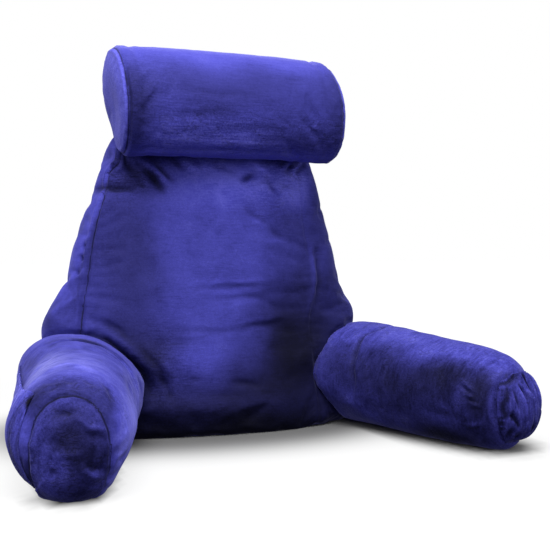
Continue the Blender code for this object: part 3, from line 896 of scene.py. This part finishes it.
def makeArm(name):
    own = arms[name]
    node, side, degree = own["node"], own["side"], arm["degree"]
    lines = [capSeam(side, node)]
    piece, co, out = cushion(node, name, lines, arm)
    along, outwards, degrees = onArm(co, side)
    cloth = np.stack([along, degrees * degree], 1)
    cap = np.stack([outwards, co[:, 2]], 1)
    end = step(along - seamPlace(degrees, side), *arm["capEdge"])
    lift = foldHeights(cloth, foldsInCloth(own["folds"], degree), 11) * (1 - end)
    if side < 0:
        lift += foldHeights(cap, leftCapFolds, 13, 0.0015) * end
    form = foldHeights(cloth, foldsInCloth(own["form"], degree), 12)
    setPoints(piece, co + out * (lift + (looseness(co, arm["loose"]) + form))[:, None])
    shown = step(degrees, *arm["rightSeamShows"]) if side > 0 else np.ones(len(co))
    sewn(piece, lines, [lambda co: onArm(co, side)[0] - seamPlace(onArm(co, side)[2], side)],
         [arm["sink"] * shown], [sewing["far"] * (1 - shown)], arm)
    settled(piece, node, ("back_cushion", own["pocket"]))

    # painted light and shade on the arm, and its crushed pile
    tone = patchedLightShadeAndCrush(cloth, 1.0, patchesInCloth(own["paintedShading"], degree), 7)
    crush = patchedLightShadeAndCrush(cloth, own["crush"], patchesInCloth(own["crushed"], degree), 6)
    if side < 0:
        # past its shoulder the left arm is painted in shade (turned is that share), and its cap has its own
        # painted light and shade
        shoulder = np.interp(degrees, arm["shoulderDegrees"], arm["shoulder"])
        before, past = arm["shoulderEdge"]
        turned = step(along + looseness(co, arm["shoulderWander"]), shoulder - before, shoulder + past)
        capShading = patchedLightShadeAndCrush(cap, arm["capShading"], capPaintedShading, 8)
        tone = mixed(tone * (1 - arm["shoulderShade"] * turned), capShading, end)
        crush = mixed(crush, arm["capCrush"], end)
        # a painted highlight on the left arm, none past its shoulder or on the cap
        paintedHighlight = patchedLightShadeAndCrush(cloth, 0, patchesInCloth(leftArmPaintedHighlight, degree), 14)
        store(piece, "paintedHighlight", paintedHighlight * (1 - turned) * (1 - end))
    store(piece, "crush", crush)
    store(piece, "tone", shaded(tone, lift, arm["foldShade"]))
    heading = armAxes(side)[1]
    material = plushMaterial("plush" + name[0].upper() + name[1:], arm["comb"], arm["crinkle"],
                             -math.atan2(heading[1], heading[0]), paintedShadeScale=own["shadeScale"])
    finished(piece, node, material)


# neck roll

roll = {
    "voxel": 0.0045,
    "smoothing": 2,
    "heldHalf": 0.007,
    "cap": 0.004,
    "pressure": 4,
    "slack": 0.008,
    "centre": (0.003, -0.036, 0.516),
    "half": 0.173,
    "yaw": math.radians(-4),
    "slant": 0.06,
    "degree": 0.0015,  # metres of cloth in a degree
    "seamSteps": 48,
    "dent": 0.009,  # the left cap is pressed in low down, at this y and z
    "dentAt": (-0.030, 0.495),
    "dentReach": 0.045,
    "dentEdge": (-0.002, 0.008),
    "sink": 0.0018,
    "sinkHalf": 0.0035,
    "pucker": 0.0008,
    "comb": (45, 300, 420),
    "crinkle": (30, 105, 105),
    "crush": 0.12,
    "loose": ((0.0010, 14, 16), (0.0003, 60, 17)),
    "foldShade": (110, 0.4, 1.25),
    "capEdge": 0.004,
    # painted light over the end caps, and a painted highlight along the top
    "capShading": 1.30,
    "capCrush": 0.4,
    "paintedHighlight": 0.35,
    "highlightDegrees": (62, 88),
    "blotch": 0.3,
}

# painted light and shade, and crushed pile, on the roll, as metres along and degrees up from the front
rollPaintedShading = (
    (0, 12, 0.3, 40, 0.6),
    (0, 85, 0.3, 40, 1.05),
    (0, -62, 0.3, 30, 1.45),
    (0.115, -32, 0.07, 20, 0.72),
    (-0.168, -8, 0.03, 50, 0.42),
    (0.17, 0, 0.03, 60, 0.5),
)
rollCrushed = (
    (0, -34, 0.3, 26, 0.9),
    (-0.15, -10, 0.05, 40, 0.6),
)

rollFolds = (
    (0.006, -0.0008, (-0.1, 8), (-0.04, 5), (0.03, 7)),
    (0.007, -0.0012, (-0.12, -18), (-0.07, -16), (-0.02, -12)),
    (0.007, -0.0012, (-0.04, -30), (0.06, -27)),
    (0.006, 0.0012, (-0.15, -40), (-0.06, -44), (0.1, -42)),
    (0.006, -0.0014, (-0.16, -56), (-0.03, -53), (0.12, -54)),
    (0.008, -0.0008, (0.06, 30), (0.14, 28)),
    (0.0035, -0.0014, (-0.092, -36), (-0.088, -30)),
    (0.0035, -0.001, (0.1, -14), (0.104, -22)),
    (0.003, -0.004, (-0.171, 24), (-0.172, -10), (-0.171, -60)),
)


def onRoll(co):
    c, s = math.cos(roll["yaw"]), math.sin(roll["yaw"])
    q = co - np.array(roll["centre"])
    x, y = q[:, 0] * c + q[:, 1] * s, -q[:, 0] * s + q[:, 1] * c
    return x + roll["slant"] * q[:, 2], np.degrees(np.arctan2(q[:, 2], -y))


def rollSeam(end):
    c, s = math.cos(roll["yaw"]), math.sin(roll["yaw"])
    centre = Vector(roll["centre"]) + Vector((end * roll["half"] * c, end * roll["half"] * s, 0))
    directions = []
    for i in range(roll["seamSteps"] + 1):
        a = 2 * math.pi * i / roll["seamSteps"]
        y, z = -math.cos(a), math.sin(a)
        x = -roll["slant"] * z
        directions.append((x * c - y * s, x * s + y * c, z))
    return castLine(trees["neck_roll"], [centre] * len(directions), directions)


def makeRoll():
    lines = [rollSeam(-1), rollSeam(1)]
    piece, co, out = cushion("neck_roll", "neckRoll", lines, roll)
    half, degree = roll["half"], roll["degree"]
    along, degrees = onRoll(co)
    cloth = np.stack([along, degrees * degree], 1)
    lift = foldHeights(cloth, foldsInCloth(rollFolds, degree), 15)
    dent = np.linalg.norm(co[:, 1:] - roll["dentAt"], axis=1) / roll["dentReach"]
    inner, outer = roll["dentEdge"]
    dent = roll["dent"] * np.exp(-dent ** 2) * step(-along, half + inner, half + outer)
    setPoints(piece, co + out * (lift + (looseness(co, roll["loose"]) - dent))[:, None])
    sewn(piece, lines, [lambda co: np.abs(onRoll(co)[0]) - half] * 2, [roll["sink"]] * 2, (0.0, 0.0), roll)
    settled(piece, "neck_roll", ("back_cushion",))

    # painted light and shade on the roll, lighter over its caps, with painted shade in the fold troughs
    capped = step(np.abs(along), half - roll["capEdge"], half + roll["capEdge"])
    tone = mixed(patchedLightShadeAndCrush(cloth, 1.0, patchesInCloth(rollPaintedShading, degree), 9), roll["capShading"], capped)
    crush = patchedLightShadeAndCrush(cloth, roll["crush"], patchesInCloth(rollCrushed, degree), 10)
    # a painted highlight along the top of the roll, off the caps
    store(piece, "paintedHighlight", roll["paintedHighlight"] * step(degrees, *roll["highlightDegrees"]) * (1 - capped))
    store(piece, "crush", mixed(crush, roll["capCrush"], capped))
    store(piece, "tone", shaded(tone, lift, roll["foldShade"]))
    material = plushMaterial("plushRoll", roll["comb"], roll["crinkle"], -roll["yaw"], roll["blotch"])
    finished(piece, "neck_roll", material)


# pockets

pocket = {
    "bend": 0.05,  # how far the gathers wander
    "sway": 1.8,
    "crest": 0.15,
    "flatter": 0.35,  # at the mouth
    "footSlack": 0.25,
    "hugFrom": (0.35, 0.95),  # where the cloth closes in on the arm
    "opens": (0.76, 0.90),  # where the mouth comes off the arm
    "closed": 0.9,
    "swayScale": (1.3, 1.2),
    "closes": (0.97, 1.0),
    "sewn": 0.7,  # how flat the sewn edges lie
    "sewnEnd": 0.08,
    "sewnFoot": 0.10,
    "sewnUpTo": (0.8, 0.9),
    "hemFrom": (0.86, 0.97),
    "hemRibs": 2.5,  # to a gather
    # the end pocket's mouth: metres out of the pillow, heights
    "lip": ((-0.042, -0.034, -0.027, -0.020, -0.014, -0.009), (0.0975, 0.0985, 0.101, 0.1045, 0.109, 0.119)),
    "lipRoll": 0.0012,
    "press": 0.75,  # the most that the cloth can lose of its stand
    "comb": (200, 200, 40),
    "crinkle": (150, 150, 30),
    "crush": 0.8,
}
# the side pocket's span runs along its arm, the end pocket's across the end
# tone and deep are painted light and shade: each pocket's tone, and the painted shade in the valleys of its
# gathers
pockets = {
    "sidePocket": {"node": "side_pocket", "arm": "leftArm", "flat": (0.280, 0.114), "span": (0.040, 0.322),
                   "height": (0.014, 0.125), "gathers": 30, "depth": 0.0024, "hem": 0.0012, "hug": 0.62,
                   "slack": 10, "seed": 21, "tone": 1.0, "deep": 0.45, "paintedHighlight": 0.20},
    "endPocket": {"node": "end_pocket", "arm": "rightArm", "flat": (0.150, 0.105), "span": (-0.046, 0.046),
                  "height": (0.010, 0.112), "gathers": 6.5, "depth": 0.0022, "hem": 0.0014, "hug": 0.0,
                  "slack": 4, "seed": 31, "tone": 0.80, "deep": 0.75, "paintedHighlight": 0.0},
}

# lines on the end pocket, as metres out of the pillow and height
endPocketFolds = (
    (0.0018, -0.0055, (-0.0365, 0.099), (-0.036, 0.09), (-0.035, 0.083)),
    (0.0022, 0.0035, (-0.0385, 0.084), (-0.0392, 0.072), (-0.0375, 0.064)),
    (0.0032, -0.0085, (-0.0345, 0.06), (-0.032, 0.053), (-0.03, 0.05)),
    (0.0024, 0.003, (-0.032, 0.066), (-0.03, 0.056), (-0.024, 0.043)),
    (0.0022, -0.0055, (-0.03, 0.054), (-0.0235, 0.04)),
    (0.002, -0.003, (-0.03, 0.098), (-0.029, 0.08), (-0.0275, 0.066)),
    (0.0026, 0.005, (-0.0255, 0.1), (-0.023, 0.088), (-0.021, 0.073), (-0.019, 0.058), (-0.015, 0.046),
     (-0.01, 0.03)),
    (0.0022, -0.0065, (-0.0215, 0.1), (-0.0195, 0.087), (-0.017, 0.066), (-0.0165, 0.058), (-0.013, 0.048)),
    (0.0026, 0.005, (-0.018, 0.1), (-0.014, 0.092), (-0.006, 0.082), (-0.001, 0.072), (0.002, 0.058),
     (0.006, 0.044)),
    (0.0026, -0.007, (-0.008, 0.112), (-0.0045, 0.096), (-0.0015, 0.083)),
    (0.0024, 0.003, (0.001, 0.112), (0.004, 0.094), (0.007, 0.074)),
    (0.0026, -0.006, (0.007, 0.112), (0.011, 0.092), (0.014, 0.068)),
    (0.003, 0.0035, (0.015, 0.11), (0.019, 0.088), (0.02, 0.064)),
    (0.0026, -0.006, (0.022, 0.108), (0.026, 0.086), (0.025, 0.062)),
    (0.003, 0.0035, (0.03, 0.104), (0.034, 0.08), (0.032, 0.052)),
    (0.0026, -0.005, (-0.031, 0.038), (-0.028, 0.026), (-0.024, 0.016)),
    (0.0034, -0.008, (-0.017, 0.026), (-0.0155, 0.02)),
    (0.003, -0.004, (0.004, 0.04), (0.008, 0.028)),
)


def gathered(piece, own, crosses):
    # draws the cloth into gathers that run down from the elastic mouth
    co = points(piece)
    on = arms[own["arm"]]
    under = [trees[on["node"]].find_nearest(Vector(p)) for p in co]
    facing = np.array([hit[1] for hit in under])
    stand = np.sum((co - np.array([hit[0] for hit in under])) * facing, axis=1)
    along, outwards, _ = onArm(co, on["side"])
    (start, stop), (low, mouth), gathers = own["span"], own["height"], own["gathers"]
    share = ((outwards if crosses else along) - start) / (stop - start)
    up = np.clip((co[:, 2] - low) / (mouth - low), 0, 1)
    bent = share + pocket["bend"] * wander(np.stack([share * 3, up * 2], 1), 1.0, own["seed"]) * (1 - up)
    across, upwards = pocket["swayScale"]
    places = [Vector((b * gathers * across, u * upwards, own["seed"])) for b, u in zip(bent, up)]
    waves = np.array([noise.noise(place) for place in places])
    fold = 1 - 2 * np.abs(np.sin(math.pi * gathers * bent / 2 + pocket["sway"] * waves))
    slack = 1 - np.abs(2 * np.clip(share, 0, 1) - 1) ** own["slack"]
    slack *= step(up, 0.0, pocket["footSlack"])
    move = own["depth"] * slack * (-fold * 0.5 - pocket["crest"]) * (1 - pocket["flatter"] * up)
    # the mouth hugs the arm and gapes at one end; the sewn edges lie flat
    opened = step(share, *pocket["opens"]) - pocket["closed"] * step(share, *pocket["closes"])
    hug = own["hug"] * step(up, *pocket["hugFrom"]) * (1 - opened)
    ends = np.maximum(1 - step(share, 0.0, pocket["sewnEnd"]), step(share, 1 - pocket["sewnEnd"], 1.0))
    sewn = np.maximum(ends * (1 - step(up, *pocket["sewnUpTo"])), 1 - step(up, 0.0, pocket["sewnFoot"]))
    move -= np.maximum(hug, pocket["sewn"] * sewn) * stand
    ribs = np.sin(2 * math.pi * gathers * pocket["hemRibs"] * share + 2 * waves)
    ribs *= step(up, *pocket["hemFrom"])
    if crosses:
        pleats = foldHeights(np.stack([outwards, co[:, 2]], 1), endPocketFolds, 33, 0.0012) * slack
        move += pleats
        fold = np.clip(-pleats / 0.003, -1, 1)
        # the mouth hangs open in a curve, and the arm shows in it
        up = co[:, 2] - np.interp(outwards, *pocket["lip"])
        gape = step(up, 0.0, 0.0025)
        move = mixed(move, -pocket["press"] * stand, gape)
        move += pocket["lipRoll"] * np.exp(-((up + 0.002) / 0.002) ** 2)
        slack *= 1 - gape
    move = np.maximum(move + own["hem"] * ribs * slack, -pocket["press"] * np.maximum(stand, 0))
    setPoints(piece, co + facing * move[:, None])
    return fold, share, up, slack


def sideShade(share, up):
    # painted shadow in the gape at the front end of the mouth, and painted shade over the front end
    gape = 0.95 * step(share, 0.930, 0.945) * step(up - 2.2 * (0.985 - share), 0.80, 0.84)
    return (1 - gape) * (1 - 0.30 * step(share, 0.84, 0.92))


def endShade(share, over):
    # painted shadow under the lip, and painted shade in a ragged band along the sewn edge
    level = np.stack([over, 0 * over], 1)
    rag = 0.06 + 0.07 * (wander(level, 120, 41) + 0.6 * wander(level, 310, 43))
    edge = 0.75 * np.exp(-((share - rag) / 0.03) ** 2) * step(-over, 0.0, 0.01)
    return (1 - 0.85 * np.exp(-((over - 0.0028) / 0.0022) ** 2)) * (1 - edge)


def makePocket(name, crosses, shade):
    own = pockets[name]
    piece = coverOf(own["node"], name)
    subdivided(piece, 2)
    fold, share, up, slack = gathered(piece, own, crosses)
    # painted shade in the valleys of the gathers and painted light on their ridges
    tone = own["tone"] * (1 - own["deep"] * slack * step(fold, 0.1, 1.0)) * (1 + 0.3 * step(-fold, 0.2, 1.0))
    # a painted highlight on the ridges of the gathers, off the front end
    paintedHighlight = own["paintedHighlight"] * slack * step(-fold, 0.3, 1.0) * (1 - step(share, 0.80, 0.88))
    store(piece, "seam", np.full(len(fold), sewing["far"]))
    store(piece, "paintedHighlight", paintedHighlight)
    store(piece, "tone", tone * shade(share, up))
    store(piece, "crush", np.full(len(fold), pocket["crush"]))
    material = plushMaterial("plush" + name[0].upper() + name[1:], pocket["comb"], pocket["crinkle"],
                             paintedShadeScale=arms[own["arm"]]["shadeScale"])
    finished(piece, own["node"], material)


makeBack()
makeArm("leftArm")
makeArm("rightArm")
makeRoll()
makePocket("sidePocket", False, sideShade)
makePocket("endPocket", True, endShade)


# studio

studio = {
    "floor": {"Base Color": (0.12, 0.12, 0.12, 1), "Roughness": 0.9, "Specular IOR Level": 0,
              "Emission Color": (1, 1, 1, 1)},
    "glow": (0.82, 1.0),  # keeps the floor white out to the horizon
    "glowReach": (0.6, 2.2),
    # how far the painted contact shadow of each node reaches on the floor
    "contact": {"back_cushion": 0.108, "arm_left": 0.010, "arm_right": 0.030, "end_pocket": 0.018},
    "contactEdge": 2.6,  # how sharply the dark ends
    "cells": 150,
    "cellSpread": (0.75, 13, 5),  # a near share, a far share and its power
    "backdrop": 1.0,
    "skyHeights": (-0.2, 0.8),
    "skyLight": (0.08, 0.80),
    "aim": (-0.05, -0.1, 0.25),
}
lamps = (
    # name, place, size, power
    ("topSoftbox", (-0.5, -1.1, 2.2), 1.7, 78),
    ("frontSoftbox", (-0.9, -2.4, 1.00), 1.6, 9),
    ("leftSoftbox", (-2.1, -0.7, 0.9), 1.4, 9),
    ("rightSoftbox", (1.9, -1.7, 0.8), 1.4, 9),
)


def makeFloor():
    # small cells near the pillow and large ones far off
    near, far, power = studio["cellSpread"]
    bm = bmesh.new()
    bmesh.ops.create_grid(bm, x_segments=studio["cells"], y_segments=studio["cells"], size=1)
    for vert in bm.verts:
        for i in (0, 1):
            vert.co[i] = near * vert.co[i] + far * vert.co[i] ** power
    mesh = bpy.data.meshes.new("floor")
    bm.to_mesh(mesh)
    bm.free()
    floor = added("floor", mesh)
    # a painted contact shadow: the floor's glow fades near each node
    unshadowed = np.ones(len(mesh.vertices))
    for node, reach in studio["contact"].items():
        for i, vert in enumerate(mesh.vertices):
            away = trees[node].find_nearest(vert.co)[3]
            unshadowed[i] = min(unshadowed[i], 1 - math.exp(-(away / reach) ** studio["contactEdge"]))
    store(floor, "open", unshadowed)

    material, tree, shader = newMaterial("paleFloor", studio["floor"])
    reach = addNode(tree, "ShaderNodeVectorMath", operation="LENGTH")
    feed(reach.inputs[0], addNode(tree, "ShaderNodeTexCoord").outputs["Object"])
    glow = rangeOf(tree, reach.outputs["Value"], *studio["glowReach"], *studio["glow"])
    feed(shader.inputs["Emission Strength"], mathsOf(tree, "MULTIPLY", glow, storedOf(tree, "open")))
    mesh.materials.append(material)
    floor.visible_diffuse = floor.visible_glossy = False  # the plush stays deep low down


def aimed(name, data, place, heading):
    thing = added(name, data)
    thing.location = place
    thing.rotation_euler = Vector(heading).to_track_quat("-Z", "Y").to_euler()
    return thing


def addSoftbox(name, place, size, power):
    data = bpy.data.lights.new(name, "AREA")
    data.shape = "DISK"
    data.size = size
    data.energy = power
    aimed(name, data, place, Vector(studio["aim"]) - Vector(place))


def makeWorld():
    # a white backdrop, and light that fades down to the floor
    world = bpy.data.worlds.new("studio")
    world.use_nodes = True
    tree = world.node_tree
    background = tree.nodes["Background"]
    background.inputs["Color"].default_value = (1, 1, 1, 1)
    split = addNode(tree, "ShaderNodeSeparateXYZ")
    feed(split.inputs[0], addNode(tree, "ShaderNodeTexCoord").outputs["Generated"])
    light = rangeOf(tree, split.outputs["Z"], *studio["skyHeights"], *studio["skyLight"])
    pick = addNode(tree, "ShaderNodeMix", data_type="FLOAT")
    seen = addNode(tree, "ShaderNodeLightPath").outputs["Is Camera Ray"]
    for number, value in zip((0, 2, 3), (seen, light, studio["backdrop"])):
        feed(pick.inputs[number], value)
    feed(background.inputs["Strength"], pick.outputs[0])
    scene.world = world


camera = {
    "place": (-0.5268, -1.3522, 0.2925),
    "look": (0.42631, 0.90403, -0.03143),
    "lens": 57.155,
    "sensor": 36,
    "clip": (0.02, 60),
}


def makeCamera():
    data = bpy.data.cameras.new("camera")
    data.lens, data.sensor_width = camera["lens"], camera["sensor"]
    data.clip_start, data.clip_end = camera["clip"]
    scene.camera = aimed("camera", data, camera["place"], camera["look"])


makeFloor()
makeWorld()
for lamp in lamps:
    addSoftbox(*lamp)
makeCamera()
scene.view_settings.view_transform = "Standard"
scene.view_settings.look = "None"
print("studio made")
